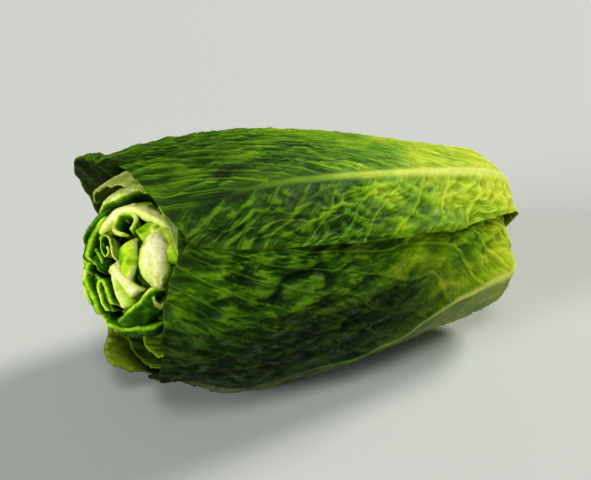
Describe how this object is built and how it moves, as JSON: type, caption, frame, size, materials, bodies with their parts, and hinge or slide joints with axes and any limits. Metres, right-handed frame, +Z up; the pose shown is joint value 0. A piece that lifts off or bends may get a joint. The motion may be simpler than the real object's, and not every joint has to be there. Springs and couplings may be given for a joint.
{
  "type": "romaine lettuce head",
  "caption": "Whole romaine lettuce lying on its side: broad ribbed outer leaves cupped around paler inner leaves, a closed heart and a short cut stem.",
  "frame": {"origin": "under the middle of the head's box, on the surface that it lies on", "axes": "+X from the crown towards the cut stem, -Y the side of the large lower front leaf, +Z up"},
  "size_m": [0.24, 0.1318, 0.1319],
  "materials": {
    "outer_leaf": "satin, waxy deep green leaf with a pale green midrib",
    "middle_leaf": "satin, mid green leaf",
    "inner_leaf": "satin, light yellow-green leaf",
    "heart_leaf": "satin, pale yellow-green leaf with a whitish rib",
    "stem": "matte, moist cream-coloured cut stem"
  },
  "bodies": {
    "root": {"stem": "stem", "outer_leaf_upper_front": "outer_leaf", "outer_leaf_lower_front": "outer_leaf", "outer_leaf_upper_back": "outer_leaf", "outer_leaf_lower_back": "outer_leaf", "middle_leaf_front": "middle_leaf", "middle_leaf_top": "middle_leaf", "middle_leaf_back": "middle_leaf", "middle_leaf_under": "middle_leaf", "inner_leaf_front": "inner_leaf", "inner_leaf_back": "inner_leaf", "inner_leaf_under": "inner_leaf", "heart_leaf_1": "heart_leaf", "heart_leaf_2": "heart_leaf", "heart_leaf_3": "heart_leaf", "heart_leaf_4": "heart_leaf", "heart_leaf_5": "heart_leaf", "heart_leaf_6": "heart_leaf", "heart_leaf_7": "heart_leaf", "heart_leaf_8": "heart_leaf", "heart_leaf_9": "heart_leaf", "heart_leaf_10": "heart_leaf", "heart_bud": "heart_leaf"}
  },
  "joints": []
}
